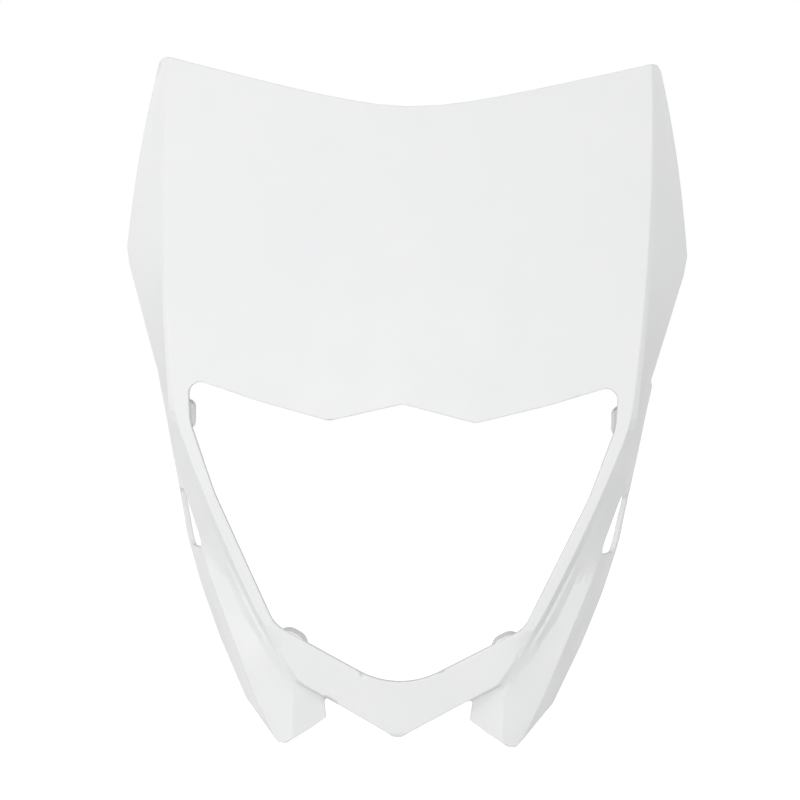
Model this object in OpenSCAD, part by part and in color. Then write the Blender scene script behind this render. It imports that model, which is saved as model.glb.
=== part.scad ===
// Headlight fairing of an off-road motorcycle: one thin-walled moulding with a number panel on top,
// a V shaped headlight opening, two side arms with strap slots and two feet behind the lower bar.
// The front looks along -Y and +Z is up. The origin lies midway between the two upper lamp lugs.

/* [Front face] */
// Height of the top corners above the upper lamp lugs
top_corner_h = 171.5; // [150:0.5:190]
// Depth of the hollow in the top edge, from the corners down to the middle
top_hollow = 25; // [10:0.5:40]
// Length over which the hollow of the top edge is rounded
top_hollow_round = 34; // [10:1:60]
// Width across the two creases at the top edge
crease_top_w = 234; // [210:1:250]
// Width across the two creases where the arms begin
crease_arm_w = 215; // [200:1:226]
// Outward bow of each crease between the top edge and the arm
crease_bow = 3.5; // [0:0.1:6]
// Radius of the sideways curve of the whole front face
front_r = 630; // [450:10:1200]
// Backward lean of the number panel, degrees
panel_lean = 10.5; // [6:0.5:16]
// Backward lean of the face below the lamp lugs, degrees
lower_lean = 7; // [3:0.5:11]
// Height over which one lean turns into the other
lean_blend = 40; // [15:1:70]
// Wall thickness of the moulding
wall = 2.6; // [2:0.1:3.2]

/* [Wings] */
// Width across the wing tips at their widest
wing_w = 272.4; // [262:0.2:280]
// Height of the widest place above the upper lamp lugs
wing_h = 75; // [60:1:95]
// Width across the wings at the top edge
wing_top_w = 243; // [240:0.5:252]
// Width across the lower ends of the wings
wing_end_w = 238; // [230:0.5:244]
// Height of the lower wing ends above the upper lamp lugs
wing_end_h = 18.5; // [12:0.5:24]
// Outward bow of the wing edge above its widest place
wing_bow = 1.8; // [0:0.1:3]
// Depth of the wing edge behind the front of the face
wing_y = 43; // [36:0.5:50]
// Depth of the return lip behind the wing edge
wing_lip = 4; // [2:0.5:8]
// Radius of the rounded top corners
corner_r = 5; // [2:0.5:7]

/* [Headlight opening] */
// Height of the middle notch above the upper lamp lugs
notch_h = 4; // [0:0.5:10]
// Width across the two low peaks of the top edge
peak_w = 69; // [40:1:100]
// Depth of the two low peaks below the upper lamp lugs
peak_drop = 4.4; // [1:0.2:9]
// Radius of the middle notch and of the two low peaks
peak_r = 6; // [2:0.5:12]
// Width across the upper corners of the opening
open_w = 204.6; // [198:0.2:207]
// Height of the upper corners above the upper lamp lugs
open_corner_h = 15.2; // [12:0.2:17]
// Radius of the upper corners
open_corner_r = 5.5; // [3:0.5:8]
// Hollow of the two long slopes of the top edge
open_sag = 1; // [0:0.1:2]
// Width across the middle of the two long sides
open_mid_w = 177; // [172:0.5:179]
// Width across the lower corners
open_low_w = 118.4; // [108:0.2:122]
// Depth of the lower corners below the upper lamp lugs
open_low_drop = 101.5; // [97:0.5:105]
// Radius of the lower corners
open_low_r = 14; // [6:1:20]
// Depth below the upper lamp lugs at which the two sides of the V would meet
vee_drop = 132.8; // [127:0.2:136]
// Radius of the bottom of the V
vee_r = 40; // [10:1:50]
// Depth of the lip that runs round the opening on the back
open_lip = 4; // [2:0.5:7]
// Thickness of that lip
open_lip_t = 2; // [1.5:0.1:3]

/* [Arms] */
// Height of the arm corner of the crease, below the upper lamp lugs
arm_top_drop = 5; // [0:0.5:12]
// Width across the step line at the lower knee
knee_w = 133; // [126:1:140]
// Depth of that knee below the upper lamp lugs
knee_drop = 98; // [92:0.5:104]
// Depth of the step beside the front strip
step_depth = 11; // [6:0.5:12]
// Width of the step wall seen from the front
step_run = 3.2; // [2:0.1:4]
// Outward bow of the step line
step_bow = 1.6; // [0:0.1:2.4]
// Width of the narrow ledge between the step and the foot facet
ledge_w = 1.7; // [1:0.1:2.4]
// Width across the outer folds beside the top of the strap slots
side_fold_w = 222; // [218:0.5:226]
// Depth of that place below the upper lamp lugs
side_fold_drop = 22; // [18:1:26]
// Depth of the outer folds beside the strap slots, behind the front of the face
side_fold_y = 36; // [32:0.5:40]
// Width across the outer folds where the foot facets begin
facet_w = 192.8; // [188:0.2:196]
// Depth of that place below the upper lamp lugs
facet_drop = 68; // [64:1:72]
// Width across the inner corners of the foot facets beside the knee
shoulder_w = 150; // [144:0.5:156]
// Width across the rear edges at the top of the side walls
side_top_w = 243.5; // [236:0.5:248]
// Depth of the side walls behind the front of the face
side_y = 76; // [66:1:90]
// Width across the rear edges beside the strap slots
rear_mid_w = 214.8; // [208:0.2:220]
// Depth of that place below the upper lamp lugs
rear_mid_drop = 62; // [56:1:68]
// Width across the rear edges at the bend beside the feet
rear_low_w = 178.6; // [172:0.2:184]
// Depth of that bend below the upper lamp lugs
rear_low_drop = 112; // [104:1:118]
// Width across the lowest rear corners
rear_end_w = 150.4; // [144:0.2:158]
// Depth of those corners below the upper lamp lugs
rear_end_drop = 140.7; // [139:0.1:146]
// Depth of those corners behind the front of the face
rear_end_y = 52; // [44:1:60]
// Outward bow of the rear edges
rear_bow = 0.9; // [0:0.1:2]
// Length of the strap slot
slot_len = 28; // [18:1:32]
// Depth of the top of the strap slot below the upper lamp lugs
slot_drop = 39; // [36:0.5:42]
// Radius of the corners of the strap slot
slot_r = 3.5; // [1:0.5:5]
// Width of the strap rail behind the slot
rail_w = 5.5; // [4:0.5:12]

/* [Lower bar and feet] */
// Depth of the V tip below the upper lamp lugs
tip_drop = 154; // [150:0.5:158]
// Width across the lower bar where its edge turns up into the arms
bar_w = 94.6; // [88:0.5:100]
// Depth of that place below the upper lamp lugs
bar_drop = 128.4; // [125:0.2:132]
// Depth of the return wall under the lower bar
bar_return = 9; // [6:0.5:11]
// Width across the inner edges of the feet
foot_in_w = 68; // [60:1:76]
// Width across the upright folds of the feet
foot_fold_w = 100; // [94:1:106]
// Depth of the lowest point of the feet below the upper lamp lugs
foot_drop = 158.5; // [156:0.5:166]
// Width across the outer folds at the bottom of the feet
foot_tip_w = 119; // [114:1:124]
// Depth of the foot bottom behind the front of the face
foot_y = 20; // [18:0.5:23]
// Depth of the upright fold of the foot behind the front of the face
foot_fold_y = 16.5; // [14:0.5:18]

/* [Lamp fixing] */
// Distance between the two upper lug holes
lug_span = 208; // [204:0.5:209]
// Depth of the rear face of the upper lugs behind the front of the face
lug_y = 30; // [25:0.5:36]
// Length of an upper lug along Y
lug_len = 11; // [6:0.5:13]
// Height of an upper lug above its hole
lug_up = 5; // [4:0.5:9]
// Depth of an upper lug below its hole
lug_down = 10; // [4:0.5:12]
// Reach of an upper lug from its hole towards the middle
lug_reach = 4.2; // [3.5:0.1:6]
// Distance between the two lower bosses
boss_span = 104; // [94:0.5:105]
// Depth of the lower bosses below the upper lamp lugs
boss_drop = 111.5; // [110:0.5:118]
// Radius of a lower boss
boss_r = 6.5; // [5:0.1:7]
// Straight length between the two round ends of a lower boss
boss_long = 3; // [1:0.5:4]
// Length of a lower boss behind the front of the face
boss_y = 34; // [28:0.5:40]
// Radius of the pilot holes
pilot_r = 2; // [1.4:0.1:2.6]
// Depth of the pilot holes
pilot_depth = 9; // [5:0.5:10]

/* [Hidden] */
// Steps across half of the front face
np = 8;
// Steps from the step's foot over the ledge to the shoulder, on to the outer fold, and on to the rear edge
nb = 2;
nc = 3;
nd = 3;
nh = np + 1 + nb + nc + nd;
// Steps down the number panel, the arm, the free end of the bar and the foot
rows_up = 18;
rows_down = 27;
rows_turn = 4;
rows_bar = 7;
rows_foot = 6;
// Height the nominal rows count from: the middle notch sits just above it
split_z = -(bar_drop + (tip_drop - bar_drop) * 0.32);
fold_x = foot_fold_w / 2;
eps = 0.01;

function mix(a, b, t) = a + (b - a) * t;
function clamp(t) = min(1, max(0, t));
function ease(t) = clamp(t) * clamp(t) * (3 - 2 * clamp(t));
// Reads a line given by corner values and rounds its corners over the length w
function soft(z, line, w) = (lookup(z - w, line) + 2 * lookup(z - w / 2, line) + 3 * lookup(z, line)
    + 2 * lookup(z + w / 2, line) + lookup(z + w, line)) / 9;

// The smooth front surface that the number panel, the front strips and the lower bar all lie on
lean_u = tan(panel_lean);
lean_l = tan(lower_lean);
lean_zero = -6;
function lean(z) = let (h = z - lean_zero)
    (lean_u - lean_l) / 2 * h + (lean_u + lean_l) / 2 * (sqrt(h * h + lean_blend * lean_blend) - lean_blend);
function front_y(x, z) = lean(z) + x * x / (2 * front_r);

// Top edge: two slopes with a rounded hollow between them and a rounded corner at each end
hollow_s = top_hollow / (sqrt(pow(wing_top_w / 2, 2) + pow(top_hollow_round, 2)) - top_hollow_round);
function corner_cut(x) = let (u = max(0, x - (wing_top_w / 2 - corner_r)))
    corner_r - sqrt(max(0, corner_r * corner_r - min(u * u, corner_r * corner_r)));
function top_z(x) = top_corner_h - top_hollow - corner_cut(x) * 0.75
    + hollow_s * (sqrt(x * x + top_hollow_round * top_hollow_round) - top_hollow_round);
function lift(x, z) = z > 0 ? z * top_z(x) / top_corner_h : z;

// Crease between panel and wing, which runs on as the step line of the arm and the lower edge of the bar
crease_line = [[-tip_drop, 1.5], [-bar_drop, bar_w / 2], [-knee_drop, knee_w / 2],
    [-arm_top_drop, crease_arm_w / 2], [top_corner_h, crease_top_w / 2]];
function crease_x(z) = soft(z, crease_line, 0.5 + 6.5 * ease((z + bar_drop + 4) / 12))
    + crease_bow * 4 * clamp((z + arm_top_drop) / (top_corner_h + arm_top_drop))
    * (1 - clamp((z + arm_top_drop) / (top_corner_h + arm_top_drop)))
    + step_bow * 4 * clamp((z + knee_drop) / (knee_drop - arm_top_drop))
    * (1 - clamp((z + knee_drop) / (knee_drop - arm_top_drop)));

// Step wall: hardly there beside the panel, deep along the arm, fading at the knee, deep again under the bar
step_line = [[split_z - 20, bar_return], [split_z, bar_return], [-bar_drop, 0.8],
    [-bar_drop + 12, 1.8], [-knee_drop - 6, 4], [-knee_drop + 13, step_depth],
    [-side_fold_drop, step_depth], [-arm_top_drop - 6, step_depth * 0.6], [-arm_top_drop + 4, 2],
    [wing_end_h, 1.8], [top_corner_h, 1]];
run_line = [[-tip_drop, step_run * 0.8], [-arm_top_drop, step_run], [wing_end_h, step_run * 0.8],
    [top_corner_h, 1.4]];

// The side walls begin a little below the wing ends
side_top_h = wing_end_h - 3.5;

// Outer fold: the wing edge above, the fold between outer facet and side wall below
fold_line = [[-foot_drop, foot_tip_w / 2], [-facet_drop, facet_w / 2], [-side_fold_drop, side_fold_w / 2],
    [wing_end_h, wing_end_w / 2], [wing_h, wing_w / 2], [top_corner_h, wing_top_w / 2]];
function fold_x_at(z) = soft(z, fold_line, 2) + wing_bow * 4 * clamp((z - wing_h) / (top_corner_h - wing_h))
    * (1 - clamp((z - wing_h) / (top_corner_h - wing_h)));
fold_depth = [[-foot_drop, foot_y], [-bar_drop + 11, foot_y + 0.2], [-knee_drop, foot_y + 3.6],
    [-facet_drop - 12, foot_y + 7], [-facet_drop + 2, side_fold_y], [-side_fold_drop, side_fold_y],
    [-arm_top_drop, side_fold_y + 1],
    [wing_end_h, wing_y - 10], [wing_h - 20, wing_y - 4], [wing_h, wing_y], [top_corner_h, wing_y - 2]];

// Rear edge: a short lip behind the wing, the deep edge of the side wall below it
rear_line = [[-rear_end_drop, rear_end_w / 2], [-rear_low_drop, rear_low_w / 2],
    [-(rear_low_drop + rear_mid_drop) / 2, (rear_low_w + rear_mid_w) / 4 + rear_bow],
    [-rear_mid_drop, rear_mid_w / 2],
    [(side_top_h - rear_mid_drop) / 2, (rear_mid_w + side_top_w) / 4 + rear_bow / 2],
    [side_top_h, side_top_w / 2]];
rear_depth = [[-rear_end_drop, rear_end_y], [-rear_low_drop, side_y - 14], [-facet_drop - 12, side_y - 8],
    [-rear_mid_drop + 12, side_y], [-side_fold_drop, side_y], [side_top_h - 13, side_y - 5],
    [side_top_h, side_y - 12]];

// Shoulder: the inner corner of the foot facet, which runs down into the upright fold of the foot
shoulder_line = [[-bar_drop - 6, fold_x], [-bar_drop + 1.5, fold_x + 4.2], [-knee_drop, shoulder_w / 2],
    [-facet_drop - 10, shoulder_w / 2 + 9.5], [-facet_drop - 4, shoulder_w / 2 + 14]];
shoulder_depth = [[-foot_drop, foot_fold_y], [-bar_drop, foot_fold_y - 1.6], [-bar_drop + 11, foot_fold_y - 0.9],
    [-knee_drop, foot_y + 2], [-knee_drop + 10, foot_y + 4.6], [-facet_drop - 10, foot_y + 6.4],
    [-facet_drop - 4, foot_y + 9]];

// One half of a section at nominal height z, from the middle out to the rear edge
function half_row(z) = let (
        xa = crease_x(z),
        za = lift(xa, z),
        a = [xa, front_y(xa, za), za],
        run = soft(z, run_line, 4),
        drop = soft(z, step_line, 6),
        b = [xa + run, a[1] + drop + run * xa / front_r, lift(xa + run, z)],
        cx = fold_x_at(z),
        c = [cx, soft(z, fold_depth, 5), lift(cx, z)],
        wing = z > wing_end_h - 1,
        d = wing ? [cx - 0.2, c[1] + wing_lip, c[2]]
            : [soft(z, rear_line, 3), soft(z, rear_depth, 3), z],
        low = ease((-facet_drop + 2 - z) / 8),
        sx = mix(mix(b[0], cx, 0.5), max(b[0] + 2, min(cx - 2.5, lookup(z, shoulder_line))), low),
        sy = mix(mix(b[1], c[1], (sx - b[0]) / (cx - b[0])), soft(z, shoulder_depth, 3), low),
        s = [sx, sy, lift(sx, z)],
        ledge = low * ease((z + bar_drop - 11) / 8),
        e = mix(mix(b, s, 0.5), [min(b[0] + ledge_w, sx - 1), b[1] + 0.3, s[2]], ledge))
    concat([for (j = [0:np]) let (x = xa * j / np, zz = lift(x, z)) [x, front_y(x, zz), zz]], [b, e, s],
        [for (k = [1:nc]) mix(s, c, k / nc)], [for (k = [1:nd]) mix(c, d, k / nd)]);

// Rows of the free end of the bar, out to the step line only
function bar_row(f) = let (z = mix(split_z, -tip_drop, f), xa = crease_x(z))
    [for (j = [0:np]) let (x = xa * j / np) [x, front_y(x, z), z]];

// Rows of the foot, which leaves the bar at the notch and ends in the slanted, rounded bottom edge. The edge
// is given by shares of the way to the upright fold and on to the outer fold, with heights above the lowest point
split_row = half_row(split_z);
foot_inner_edge = [[0, 12.6], [0.45, 7.4], [1, 2]];
foot_outer_edge = [[0.38, 0], [0.78, 0.4], [1, 3]];
function edge_points(from, to, shares) = [for (p = shares)
    [mix(from[0], to[0], p[0]), mix(from[1], to[1], p[0]), p[1] - foot_drop]];
foot_fold = [fold_x, foot_fold_y];
foot_tip = edge_points(foot_fold, [foot_tip_w / 2, foot_y], foot_outer_edge);
foot_ends = concat(edge_points([foot_in_w / 2, split_row[np + 1][1]], foot_fold, foot_inner_edge), foot_tip,
    [for (k = [1:nd]) mix(foot_tip[nc - 1], [rear_end_w / 2, rear_end_y, -rear_end_drop], k / nd)]);
function foot_row(f) = [for (j = [0:nb + nc + nd]) mix(split_row[np + 1 + j], foot_ends[j], f)];

// Moves a section inwards by the wall, with mitred corners, in the plane of the section
function unit(v) = v / max(eps, norm(v));
function side_of(p, q) = let (d = unit([q[0] - p[0], q[1] - p[1]])) [-d[1], d[0]];
function inset_row(row, closed) = [for (j = [0:len(row) - 1])
    let (p = row[j],
        n2 = j < len(row) - 1 ? side_of(p, row[j + 1]) : side_of(row[j - 1], p),
        n1 = j > 0 ? side_of(row[j - 1], p) : (closed ? [-n2[0], n2[1]] : n2),
        m = (n1 + n2) / max(0.5, 1 + n1 * n2))
    [p[0] + m[0] * wall, p[1] + m[1] * wall, p[2]]];

function mirrored(row) = concat([for (j = [len(row) - 1:-1:1]) [-row[j][0], row[j][1], row[j][2]]], row);
function flip(row) = [for (p = row) [-p[0], p[1], p[2]]];

up_z = [for (i = [0:rows_up]) mix(top_corner_h, wing_end_h, i / rows_up)];
down_z = concat([for (i = [0:rows_down]) mix(side_top_h, -bar_drop, i / rows_down)],
    [for (i = [1:rows_turn]) mix(-bar_drop, split_z, i / rows_turn)]);
halves = [for (z = concat(up_z, down_z)) half_row(z)];
bars = [for (i = [1:rows_bar]) bar_row(i / rows_bar)];
feet = [for (i = [1:rows_foot]) foot_row(i / rows_foot)];

nr = len(halves);
wm = 2 * nh + 1;
wb = 2 * np + 1;
wf = nb + nc + nd + 1;
function joined(lists) = [for (l = lists) each l];
outer_points = concat(joined([for (r = halves) mirrored(r)]), joined([for (r = bars) mirrored(r)]),
    joined(feet), joined([for (r = feet) flip(r)]));
inner_points = concat(joined([for (r = halves) mirrored(inset_row(r, true))]),
    joined([for (r = bars) mirrored(inset_row(r, true))]), joined([for (r = feet) inset_row(r, false)]),
    joined([for (r = feet) flip(inset_row(r, false))]));
total = len(outer_points);

// Numbers of the points of one row, from left to right
function main_ids(i) = [for (j = [0:wm - 1]) i * wm + j];
function part_ids(ids, from, to) = [for (j = [from:to]) ids[j]];
function bar_ids(i) = i == 0 ? part_ids(main_ids(nr - 1), nh - np, nh + np)
    : [for (j = [0:wb - 1]) nr * wm + (i - 1) * wb + j];
foot_base = nr * wm + rows_bar * wb;
function right_ids(i) = i == 0 ? part_ids(main_ids(nr - 1), nh + np + 1, 2 * nh)
    : [for (j = [0:wf - 1]) foot_base + (i - 1) * wf + j];
function left_ids(i) = i == 0 ? [for (j = [nh - np - 1:-1:0]) main_ids(nr - 1)[j]]
    : [for (j = [0:wf - 1]) foot_base + rows_foot * wf + (i - 1) * wf + j];

// Faces between two rows, each cell cut along its shorter diagonal: the outside as given, the inside turned over
function cells(up, down, pts) = [for (j = [0:len(up) - 2]) each
    norm(pts[up[j]] - pts[down[j + 1]]) < norm(pts[up[j + 1]] - pts[down[j]])
        ? [[up[j], up[j + 1], down[j + 1]], [up[j], down[j + 1], down[j]]]
        : [[up[j], up[j + 1], down[j]], [up[j + 1], down[j + 1], down[j]]]];
function turned(faces) = [for (f = faces) [f[2] + total, f[1] + total, f[0] + total]];
function both(up, down) = let (c = cells(up, down, outer_points)) concat(c, turned(c));
// Rim along a chain of outer points, closing it to the chain of inner points
function rim(chain) = [for (j = [0:len(chain) - 2]) each
    [[chain[j + 1], chain[j], chain[j] + total], [chain[j + 1], chain[j] + total, chain[j + 1] + total]]];
function back(list) = [for (j = [len(list) - 1:-1:0]) list[j]];

left_feet = [for (i = [0:rows_foot]) back(left_ids(i))];
right_feet = [for (i = [0:rows_foot]) right_ids(i)];
skin_faces = concat(
    joined([for (i = [0:nr - 2]) both(main_ids(i), main_ids(i + 1))]),
    joined([for (i = [0:rows_bar - 1]) both(bar_ids(i), bar_ids(i + 1))]),
    joined([for (i = [0:rows_foot - 1]) both(right_feet[i], right_feet[i + 1])]),
    joined([for (i = [0:rows_foot - 1]) both(left_feet[i], left_feet[i + 1])]));
// The edge of the whole sheet, walked once round: along the top to the right, down, and back along the bottom
edge_loop = concat(main_ids(0),
    [for (i = [1:nr - 1]) main_ids(i)[wm - 1]],
    [for (i = [1:rows_foot]) right_feet[i][wf - 1]],
    [for (j = [wf - 2:-1:0]) right_feet[rows_foot][j]],
    [for (i = [rows_foot - 1:-1:0]) right_feet[i][0]],
    [for (i = [0:rows_bar]) bar_ids(i)[wb - 1]],
    [for (j = [wb - 2:-1:0]) bar_ids(rows_bar)[j]],
    [for (i = [rows_bar - 1:-1:0]) bar_ids(i)[0]],
    [for (i = [0:rows_foot]) left_feet[i][wf - 1]],
    [for (j = [wf - 2:-1:0]) left_feet[rows_foot][j]],
    [for (i = [rows_foot - 1:-1:0]) left_feet[i][0]],
    [for (i = [nr - 2:-1:0]) main_ids(i)[0]]);

// The folded sheet: panel, wings, strips, steps, outer facets, side walls, feet and bar in one skin
module sheet() {
    polyhedron(points = concat(outer_points, inner_points), faces = concat(skin_faces, rim(edge_loop)));
}

// Rounded outline: each corner is [across, up, radius]
function corner_arc(a, p, b, r, n) = let (
        u = unit([a[0] - p[0], a[1] - p[1]]),
        v = unit([b[0] - p[0], b[1] - p[1]]),
        half = acos(max(-1, min(1, u * v))) / 2,
        t = r / tan(half),
        m = [p[0], p[1]] + unit(u + v) * r / sin(half),
        q0 = [p[0], p[1]] + u * t - m,
        q1 = [p[0], p[1]] + v * t - m,
        a0 = atan2(q0[1], q0[0]),
        turn = ((atan2(q1[1], q1[0]) - a0 + 540) % 360) - 180)
    [for (k = [0:n]) m + r * [cos(a0 + turn * k / n), sin(a0 + turn * k / n)]];
function rounded(list, n) = [for (i = [0:len(list) - 1]) each
    corner_arc(list[(i + len(list) - 1) % len(list)], list[i], list[(i + 1) % len(list)], list[i][2], n)];

open_mid_h = -(open_low_drop - 62);
open_half = [[peak_w / 2, -peak_drop, peak_r],
    [(peak_w + open_w) / 4, (open_corner_h - peak_drop) / 2 - open_sag, 90],
    [open_w / 2, open_corner_h, open_corner_r],
    [open_w / 2 - 1.5, -6, 25], [open_mid_w / 2, open_mid_h, 60], [open_low_w / 2, -open_low_drop, open_low_r]];
open_corners = concat([[0, notch_h, peak_r]], open_half, [[0, -vee_drop, vee_r]],
    [for (i = [len(open_half) - 1:-1:0]) [-open_half[i][0], open_half[i][1], open_half[i][2]]]);
open_outline = rounded(open_corners, 8);

// Stands an outline drawn across and up on its face, from depth y0 back to depth y1
module across(y0, y1) {
    translate([0, y1, 0])
        rotate([90, 0, 0])
            linear_extrude(height = y1 - y0)
                children();
}

module opening_cut() {
    across(-20, 70)
        polygon(open_outline);
}

// A layer that follows the front face between two depths behind it
lip_nx = 14;
lip_nz = 16;
function layer_points(d) = [for (i = [0:lip_nz]) let (z = mix(40, -tip_drop - 4, i / lip_nz))
    for (j = [-lip_nx:lip_nx]) let (x = j / lip_nx * (open_w / 2 + 8)) [x, front_y(x, z) + d, z]];
function layer_ids(i) = [for (j = [0:2 * lip_nx]) i * (2 * lip_nx + 1) + j];
layer_total = (lip_nz + 1) * (2 * lip_nx + 1);
layer_loop = concat(layer_ids(0), [for (i = [1:lip_nz]) layer_ids(i)[2 * lip_nx]],
    [for (j = [2 * lip_nx - 1:-1:0]) layer_ids(lip_nz)[j]], [for (i = [lip_nz - 1:-1:0]) layer_ids(i)[0]]);
layer_front = joined([for (i = [0:lip_nz - 1]) cells(layer_ids(i), layer_ids(i + 1), layer_points(0))]);
layer_faces = concat(layer_front,
    [for (f = layer_front) [f[2] + layer_total, f[1] + layer_total, f[0] + layer_total]],
    joined([for (j = [0:len(layer_loop) - 2]) [[layer_loop[j + 1], layer_loop[j], layer_loop[j] + layer_total],
        [layer_loop[j + 1], layer_loop[j] + layer_total, layer_loop[j + 1] + layer_total]]]));

module layer(d0, d1) {
    polyhedron(points = concat(layer_points(d0), layer_points(d1)), faces = layer_faces);
}

// Lip round the headlight opening, standing out from the back of the face
module opening_lip() {
    intersection() {
        layer(wall / 2, wall + open_lip);
        across(-10, 60)
            difference() {
                offset(r = open_lip_t)
                    polygon(open_outline);
                polygon(open_outline);
            }
    }
}

// Return wall behind the free lower edge of the bar, closed round the V tip
bar_slope = atan2(tip_drop - bar_drop, bar_w / 2 - 1.5);
function bar_edge(x, off) = -tip_drop + off / cos(bar_slope) + max(0, x - 1.5) * tan(bar_slope);
return_x = foot_in_w / 2 + 4;
return_gap = 0.4;
return_t = wall - 0.2;
module bar_return_wall() {
    y0 = max(front_y(0, -tip_drop), front_y(return_x, split_z)) + 1;
    y1 = front_y(foot_in_w / 2, split_z) + bar_return;
    across(y0, y1)
        polygon([for (p = [[-1, 0], [0, 0], [1, 0], [1, 1], [0, 1], [-1, 1]])
            [p[0] * return_x, bar_edge(abs(p[0]) * return_x, return_gap + p[1] * return_t)]]);
}

// Strap slots, cut straight through both side walls
slot_end = -(slot_drop + slot_len);
slot_front_top = soft(-slot_drop, fold_depth, 5);
slot_front_end = soft(slot_end, fold_depth, 5);
slot_rear_top = soft(-slot_drop, rear_depth, 3) - rail_w;
slot_rear_end = soft(slot_end, rear_depth, 3) - rail_w;
module strap_slots() {
    rotate([90, 0, 90])
        linear_extrude(height = 300, center = true)
            polygon(rounded([[slot_front_top, -slot_drop, slot_r], [slot_rear_top, -slot_drop, slot_r],
                [slot_rear_end, slot_end, slot_r], [slot_front_end, slot_end, slot_r]], 6));
}

// Upper lamp lug: a D shaped block on the inside of the side wall, with its pilot hole from the back
lug_x = lug_span / 2;
lug_front = lug_y - lug_len;
skin_b = half_row(0)[np + 1];
skin_c = half_row(0)[np + 1 + nb + nc];
function skin_x(y) = mix(skin_b[0], skin_c[0], (y - skin_b[1]) / (skin_c[1] - skin_b[1])) - wall * 0.6;
skin_tilt = atan((half_row(lug_up)[np + 1 + nb][0] - half_row(-lug_down)[np + 1 + nb][0]) / (lug_up + lug_down));
module upper_lug() {
    intersection() {
        translate([skin_b[0], 0, 0])
            rotate([0, skin_tilt, 0])
                translate([-skin_b[0], 0, -lug_down - 6])
                    linear_extrude(height = lug_up + lug_down + 12)
                        polygon([[lug_x - lug_reach - 6, lug_front], [skin_x(lug_front), lug_front],
                            [skin_x(lug_y), lug_y], [lug_x - lug_reach - 6, lug_y]]);
        across(lug_front - 1, lug_y + 1)
            polygon(rounded([[lug_x - lug_reach, -lug_down - eps, 4], [lug_x + 20, -lug_down - eps, 1],
                [lug_x + 20, lug_up + eps, 1], [lug_x - lug_reach, lug_up + eps, 4]], 6));
    }
}

// Lower lamp boss: a post with round ends on the back of the bar, its foot cut to the slope of the face
boss_x = boss_span / 2;
boss_front = front_y(boss_x, -boss_drop) + wall * 0.5;
boss_side = atan(boss_x / front_r);
boss_lean = atan((front_y(boss_x, -boss_drop + 1) - front_y(boss_x, -boss_drop - 1)) / 2);
boss_turn = atan((vee_drop - open_low_drop) / (open_low_w / 2));
boss_end = boss_long / 2 + boss_r;
module lower_boss() {
    difference() {
        translate([boss_x, boss_y, -boss_drop])
            rotate([90, -boss_turn, 0])
                linear_extrude(height = boss_y - boss_front + 6)
                    polygon(rounded([[-boss_end, -boss_r, boss_r - eps], [boss_end, -boss_r, boss_r - eps],
                        [boss_end, boss_r, boss_r - eps], [-boss_end, boss_r, boss_r - eps]], 10));
        translate([boss_x, boss_front, -boss_drop])
            rotate([-boss_lean, 0, boss_side])
                translate([-20, -30, -20])
                    cube([40, 30, 40]);
    }
}

module pilot_hole(x, y, z) {
    translate([x, y + 1, z])
        rotate([90, 0, 0])
            cylinder(r = pilot_r, h = pilot_depth + 1, $fn = 32);
}

module pair() {
    children();
    mirror([1, 0, 0])
        children();
}

module headlight_fairing() {
    color([0.93, 0.93, 0.93])
        translate([0, -lug_y, 0])
            difference() {
                union() {
                    difference() {
                        sheet();
                        opening_cut();
                        strap_slots();
                    }
                    opening_lip();
                    bar_return_wall();
                    pair() {
                        upper_lug();
                        lower_boss();
                    }
                }
                pair() {
                    pilot_hole(lug_x, lug_y, 0);
                    pilot_hole(boss_x, boss_y, -boss_drop);
                }
            }
}

headlight_fairing();
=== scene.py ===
"""Looks of a moulded white headlight fairing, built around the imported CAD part."""

import logging
import math
from dataclasses import dataclass, field
from enum import Enum

import bmesh
import bpy
from mathutils import Matrix, Vector
from mathutils.bvhtree import BVHTree
from mathutils.kdtree import KDTree


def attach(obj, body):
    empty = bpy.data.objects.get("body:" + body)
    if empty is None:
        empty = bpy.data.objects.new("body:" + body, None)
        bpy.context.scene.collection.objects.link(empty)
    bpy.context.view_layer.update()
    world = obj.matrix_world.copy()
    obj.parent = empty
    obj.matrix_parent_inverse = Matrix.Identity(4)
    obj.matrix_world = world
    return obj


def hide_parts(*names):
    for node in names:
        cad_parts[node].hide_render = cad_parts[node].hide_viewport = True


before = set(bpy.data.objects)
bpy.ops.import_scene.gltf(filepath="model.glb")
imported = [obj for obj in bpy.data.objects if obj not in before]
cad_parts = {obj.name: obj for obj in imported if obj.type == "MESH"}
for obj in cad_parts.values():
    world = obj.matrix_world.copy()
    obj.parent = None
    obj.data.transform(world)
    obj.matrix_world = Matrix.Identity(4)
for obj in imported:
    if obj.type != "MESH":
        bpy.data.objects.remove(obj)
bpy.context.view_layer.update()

LOG = logging.getLogger("fairing")
MM = 0.001


def linear(hex_colour: str) -> tuple[float, float, float, float]:
    """Turns an sRGB hex colour into the linear colour that shaders take.

    Args:
        hex_colour: Six hex digits with a leading hash.

    Returns:
        Linear red, green, blue and an alpha of one.
    """
    channels = [int(hex_colour[i:i + 2], 16) / 255 for i in (1, 3, 5)]
    parts = [c / 12.92 if c <= 0.04045 else ((c + 0.055) / 1.055) ** 2.4 for c in channels]
    return (parts[0], parts[1], parts[2], 1.0)


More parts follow.
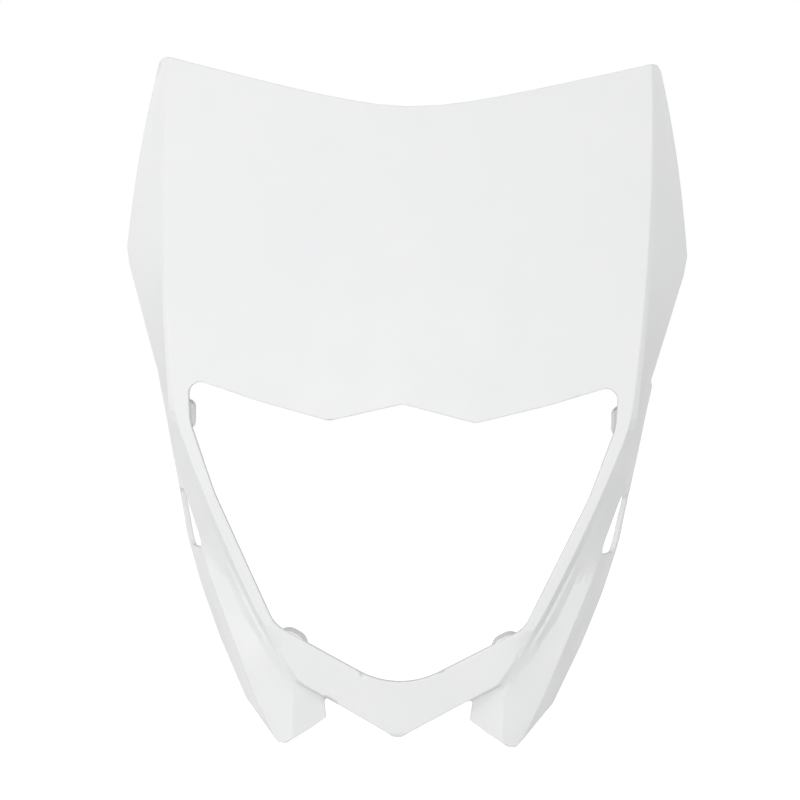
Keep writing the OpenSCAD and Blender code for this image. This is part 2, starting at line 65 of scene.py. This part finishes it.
def add_node(tree: bpy.types.NodeTree, kind: str, settings: dict[str, object] | None = None,
             inputs: dict[str | int, object] | None = None) -> bpy.types.Node:
    """Adds one shader node with its settings, values and links.

    Args:
        tree: Node tree that gets the node.
        kind: Node type, such as ShaderNodeMix.
        settings: Attributes of the node.
        inputs: Input name or number to a value, or to the socket that is linked there.

    Returns:
        The new node.
    """
    node = tree.nodes.new(kind)
    for name, value in (settings or {}).items():
        setattr(node, name, value)
    for key, value in (inputs or {}).items():
        if isinstance(value, bpy.types.NodeSocket):
            tree.links.new(value, node.inputs[key])
        else:
            node.inputs[key].default_value = value
    return node


def new_object(name: str, mesh: bmesh.types.BMesh) -> bpy.types.Object:
    """Makes a scene object of a bmesh and frees the bmesh.

    Args:
        name: Name of the object and its mesh.
        mesh: Shape, in metres, at its place in the frame.

    Returns:
        The object, at the origin.
    """
    data = bpy.data.meshes.new(name)
    mesh.to_mesh(data)
    mesh.free()
    obj = bpy.data.objects.new(name, data)
    bpy.context.scene.collection.objects.link(obj)
    return obj


@dataclass(frozen=True)
class MouldedPolypropylene:
    """Injection-moulded white polypropylene from a finely blasted tool.

    The blasted tool leaves a satin skin with a grain too fine to see one by one,
    and the slow cooling of a large flat panel leaves a very low swell in it.
    """

    colour: str = "#F1F1F1"
    shade_colour: str = "#ECEDEE"
    roughness: float = 0.46
    roughness_swing: float = 0.05
    ior: float = 1.49
    grain_mm: float = 0.7
    grain_height_mm: float = 0.006
    swell_mm: float = 42.0
    swell_height_mm: float = 0.05
    cloud_mm: float = 30.0

    def build(self) -> bpy.types.Material:
        """Builds the node material.

        Returns:
            The material, ready for a slot.
        """
        material = bpy.data.materials.new("moulded_white_polypropylene")
        material.use_nodes = True
        tree = material.node_tree
        tree.nodes.clear()
        place = add_node(tree, "ShaderNodeTexCoord").outputs["Object"]
        # Cloudy mixing of the pigment: gives the panel life without a visible pattern.
        cloud = add_node(tree, "ShaderNodeTexNoise", {"noise_dimensions": "3D"},
                         {"Vector": place, "Scale": 1 / (self.cloud_mm * MM), "Detail": 3.0, "Roughness": 0.5})
        colour = add_node(tree, "ShaderNodeMix", {"data_type": "RGBA"},
                          {0: cloud.outputs["Fac"], 6: linear(self.colour), 7: linear(self.shade_colour)})
        # The grain of the tool is about 0.05 mm wide, drawn 0.7 mm wide so that a near view shows it.
        grain = add_node(tree, "ShaderNodeTexNoise", {"noise_dimensions": "3D"},
                         {"Vector": place, "Scale": 1 / (self.grain_mm * MM), "Detail": 2.0, "Roughness": 0.6})
        gloss = add_node(tree, "ShaderNodeMapRange", None,
                         {"Value": cloud.outputs["Fac"], "From Min": 0.3, "From Max": 0.7,
                          "To Min": self.roughness - self.roughness_swing,
                          "To Max": self.roughness + self.roughness_swing})
        swell = add_node(tree, "ShaderNodeTexNoise", {"noise_dimensions": "3D"},
                         {"Vector": place, "Scale": 1 / (self.swell_mm * MM), "Detail": 1.0, "Roughness": 0.4})
        low = add_node(tree, "ShaderNodeBump", None,
                       {"Height": swell.outputs["Fac"], "Distance": self.swell_height_mm * MM, "Strength": 1.0})
        fine = add_node(tree, "ShaderNodeBump", None,
                        {"Height": grain.outputs["Fac"], "Distance": self.grain_height_mm * MM, "Strength": 1.0,
                         "Normal": low.outputs["Normal"]})
        shader = add_node(tree, "ShaderNodeBsdfPrincipled", None,
                          {"Base Color": colour.outputs[2], "Roughness": gloss.outputs["Result"],
                           "IOR": self.ior, "Normal": fine.outputs["Normal"]})
        add_node(tree, "ShaderNodeOutputMaterial", None, {"Surface": shader.outputs["BSDF"]})
        return material


@dataclass
class FairingShell:
    """The one-piece moulded shell: panel, wings, arms, lower bar, feet, lugs and bosses."""

    node: str = "headlight_fairing"
    body: str = "root"
    slot: str = "white_polypropylene"
    weld_mm: float = 0.3
    edge_angle: float = 14.0
    edge_round_mm: float = 0.5
    edge_segments: int = 3
    stray_mm: float = 0.35
    plain_mm: float = 2.2
    trials: int = 6
    smooth_angle: float = 46.0
    fade_places_mm: tuple[tuple[float, float, float], ...] = (
        (59.5, -114.0, 5.5), (54.0, -126.0, 4.0), (89.5, -70.5, 6.0))
    fade_passes: int = 6
    finish: MouldedPolypropylene = field(default_factory=MouldedPolypropylene)

    def merged_copy(self) -> bmesh.types.BMesh:
        """Copies the solid's mesh and joins its loose triangles.

        Returns:
            A closed bmesh of the shell.
        """
        mesh = bmesh.new()
        mesh.from_mesh(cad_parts[self.node].data)
        bmesh.ops.remove_doubles(mesh, verts=mesh.verts, dist=self.weld_mm * MM)
        return mesh

    def fades(self, point: Vector) -> bool:
        """Tells whether a point lies where the step beside the front strip fades into the foot.

        Args:
            point: Point of the shell, in metres.

        Returns:
            True inside one of the fade places, on either side of the part.
        """
        return any(math.hypot(abs(point.x) - x * MM, point.z - z * MM) < r * MM for x, z, r in self.fade_places_mm)

    def soften_fades(self, mesh: bmesh.types.BMesh) -> None:
        """Evens the skin where the step fades, as a polished tool does.

        Args:
            mesh: Closed shell.
        """
        points = [v for v in mesh.verts if self.fades(v.co)]
        for _ in range(self.fade_passes):
            bmesh.ops.smooth_vert(mesh, verts=points, factor=0.5, use_axis_x=True, use_axis_y=True, use_axis_z=True)

    def bevel(self, mesh: bmesh.types.BMesh, edges: list[bmesh.types.BMEdge]) -> None:
        """Rounds the given edges.

        Args:
            mesh: Closed shell.
            edges: Its edges to round.
        """
        bmesh.ops.bevel(mesh, geom=edges, offset=self.edge_round_mm * MM, offset_type="OFFSET",
                        segments=self.edge_segments, profile=0.5, affect="EDGES", material=-1,
                        clamp_overlap=False, loop_slide=True)

    def strays(self, mesh: bmesh.types.BMesh, skin: BVHTree) -> dict[bmesh.types.BMVert, Vector]:
        """Finds the points that the rounding moved off the skin.

        Args:
            mesh: Rounded shell.
            skin: Shell before the rounding.

        Returns:
            Each such point with the place on the skin nearest to it.
        """
        found = {}
        for point in mesh.verts:
            near, _, _, gap = skin.find_nearest(point.co)
            if gap > self.stray_mm * MM:
                found[point] = near
        return found

    def round_edges(self, mesh: bmesh.types.BMesh) -> None:
        """Rounds every edge that the mould rounds.

        Edges so close to others that a trial rounding folds over are left plain.

        Args:
            mesh: Closed shell.
        """
        skin = BVHTree.FromBMesh(mesh)
        limit = math.radians(self.edge_angle)
        sharp = [e for e in mesh.edges if e.is_manifold and e.calc_face_angle(0.0) > limit
                 and not (self.fades(e.verts[0].co) and self.fades(e.verts[1].co))]
        mesh.edges.index_update()
        for turn in range(1, self.trials + 1):
            trial = mesh.copy()
            trial.edges.ensure_lookup_table()
            self.bevel(trial, [trial.edges[e.index] for e in sharp])
            spots = list(self.strays(trial, skin).values())
            trial.free()
            LOG.info("edges to round: %d, places that fold: %d", len(sharp), len(spots))
            if not spots:
                break
            tree = KDTree(len(spots))
            for number, spot in enumerate(spots):
                tree.insert(spot, number)
            tree.balance()
            sharp = [e for e in sharp if min(tree.find(place)[2] for place in (
                e.verts[0].co, e.verts[1].co, (e.verts[0].co + e.verts[1].co) / 2)) > turn * self.plain_mm * MM]
        self.bevel(mesh, sharp)
        for point, near in self.strays(mesh, skin).items():
            point.co = near

    def build(self) -> bpy.types.Object:
        """Builds, smooths and dresses the shell.

        Returns:
            The finished piece.
        """
        mesh = self.merged_copy()
        self.soften_fades(mesh)
        self.round_edges(mesh)
        shell = new_object("fairing_shell", mesh)
        shell.data.shade_smooth()
        shell.data.set_sharp_from_angle(angle=math.radians(self.smooth_angle))
        even = shell.modifiers.new("even_shading", "WEIGHTED_NORMAL")
        even.mode = "FACE_AREA"
        even.keep_sharp = True
        shell.data.materials.append(self.finish.build())
        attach(shell, self.body)
        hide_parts(self.node)
        return shell


class LampPlace(Enum):
    """Where a studio lamp stands: its place and its size, in metres."""

    KEY = ((-2.0, -1.6, -0.05), 1.6)
    LOW_FRONT = ((0.0, -2.5, 0.0), 1.6)
    FRONT_RIGHT = ((1.3, -2.2, 0.3), 1.6)
    LEFT = ((-2.6, -0.4, 0.3), 1.6)


@dataclass
class Studio:
    """Pale floor, white surroundings and soft lamps."""

    floor_z: float = -0.1585
    floor_size: float = 12.0
    ambient: float = 0.59
    floor_colour: str = "#DCDCDC"
    floor_lift: float = 0.8
    watts: dict[LampPlace, float] = field(default_factory=lambda: {
        LampPlace.KEY: 18.0, LampPlace.LOW_FRONT: 20.5, LampPlace.FRONT_RIGHT: 10.0, LampPlace.LEFT: 7.5})

    def build_floor(self) -> None:
        """Makes the floor, which keeps the shadow and is lifted to white for the camera."""
        mesh = bmesh.new()
        bmesh.ops.create_grid(mesh, x_segments=1, y_segments=1, size=self.floor_size / 2)
        bmesh.ops.translate(mesh, verts=mesh.verts, vec=Vector((0, 0, self.floor_z)))
        floor = new_object("studio_floor", mesh)
        material = bpy.data.materials.new("pale_paper_floor")
        material.use_nodes = True
        tree = material.node_tree
        tree.nodes.clear()
        path = add_node(tree, "ShaderNodeLightPath")
        seen = add_node(tree, "ShaderNodeMath", {"operation": "MAXIMUM"},
                        {0: path.outputs["Is Camera Ray"], 1: path.outputs["Is Glossy Ray"]})
        lift = add_node(tree, "ShaderNodeMath", {"operation": "MULTIPLY"},
                        {0: seen.outputs[0], 1: self.floor_lift})
        paper = add_node(tree, "ShaderNodeBsdfDiffuse", None, {"Color": linear(self.floor_colour)})
        glow = add_node(tree, "ShaderNodeEmission", None, {"Strength": lift.outputs[0]})
        both = add_node(tree, "ShaderNodeAddShader", None, {0: paper.outputs[0], 1: glow.outputs[0]})
        add_node(tree, "ShaderNodeOutputMaterial", None, {"Surface": both.outputs[0]})
        floor.data.materials.append(material)

    def build_world(self) -> None:
        """Makes the surroundings: plain light on the object, white for the camera."""
        world = bpy.data.worlds.new("studio_world")
        bpy.context.scene.world = world
        world.use_nodes = True
        tree = world.node_tree
        tree.nodes.clear()
        path = add_node(tree, "ShaderNodeLightPath")
        seen = add_node(tree, "ShaderNodeMath", {"operation": "MAXIMUM"},
                        {0: path.outputs["Is Camera Ray"], 1: path.outputs["Is Transmission Ray"]})
        light = add_node(tree, "ShaderNodeBackground", None, {"Color": (1, 1, 1, 1), "Strength": self.ambient})
        white = add_node(tree, "ShaderNodeBackground", None, {"Color": (1, 1, 1, 1), "Strength": 1.0})
        mix = add_node(tree, "ShaderNodeMixShader", None,
                       {0: seen.outputs[0], 1: light.outputs[0], 2: white.outputs[0]})
        add_node(tree, "ShaderNodeOutputWorld", None, {"Surface": mix.outputs[0]})

    def build_lamps(self) -> None:
        """Makes the soft lamps, each turned to the middle of the part."""
        for place, power in self.watts.items():
            spot, size = place.value
            data = bpy.data.lights.new(f"lamp_{place.name.lower()}", "AREA")
            data.shape = "DISK"
            data.size = size
            data.energy = power
            lamp = bpy.data.objects.new(data.name, data)
            lamp.matrix_world = Matrix.Translation(spot) @ Vector(spot).to_track_quat("Z", "Y").to_matrix().to_4x4()
            bpy.context.scene.collection.objects.link(lamp)

    def build(self) -> None:
        """Builds the whole studio."""
        self.build_floor()
        self.build_world()
        self.build_lamps()


@dataclass
class PhotoCamera:
    """The photograph's camera: nearly level, from the front, with a slight roll."""

    distance: float = 1.330
    middle: tuple[float, float] = (-0.001786, 0.005992)
    yaw: float = -1.001
    pitch: float = -0.007
    roll: float = 0.977
    focal_share: float = 3.45805
    sensor: float = 36.0

    def build(self) -> bpy.types.Object:
        """Makes the camera and sets it as the scene's.

        Returns:
            The camera object.
        """
        data = bpy.data.cameras.new("photo_camera")
        data.sensor_width = self.sensor
        data.lens = self.focal_share * self.sensor
        data.clip_start = 0.05
        camera = bpy.data.objects.new("photo_camera", data)
        turn = Matrix.Rotation(math.radians(-self.yaw), 4, "Z") @ Matrix.Rotation(math.radians(-self.pitch), 4, "X")
        aim = Matrix.Translation((self.middle[0], 0.0, self.middle[1]))
        stand = Matrix.Translation((0.0, -self.distance, 0.0))
        tilt = Matrix.Rotation(math.radians(90), 4, "X") @ Matrix.Rotation(math.radians(self.roll), 4, "Z")
        camera.matrix_world = aim @ turn @ stand @ tilt
        bpy.context.scene.collection.objects.link(camera)
        bpy.context.scene.camera = camera
        return camera


def main() -> None:
    """Builds the camera, the studio and the part, and reports each piece."""
    logging.basicConfig(level=logging.INFO, format="%(name)s: %(message)s")
    bpy.context.scene.view_settings.view_transform = "Standard"
    PhotoCamera().build()
    Studio().build()
    shell = FairingShell().build()
    LOG.info("%s: %d faces", shell.name, len(shell.data.polygons))
    bpy.context.view_layer.update()


if __name__ == "__main__":
    main()
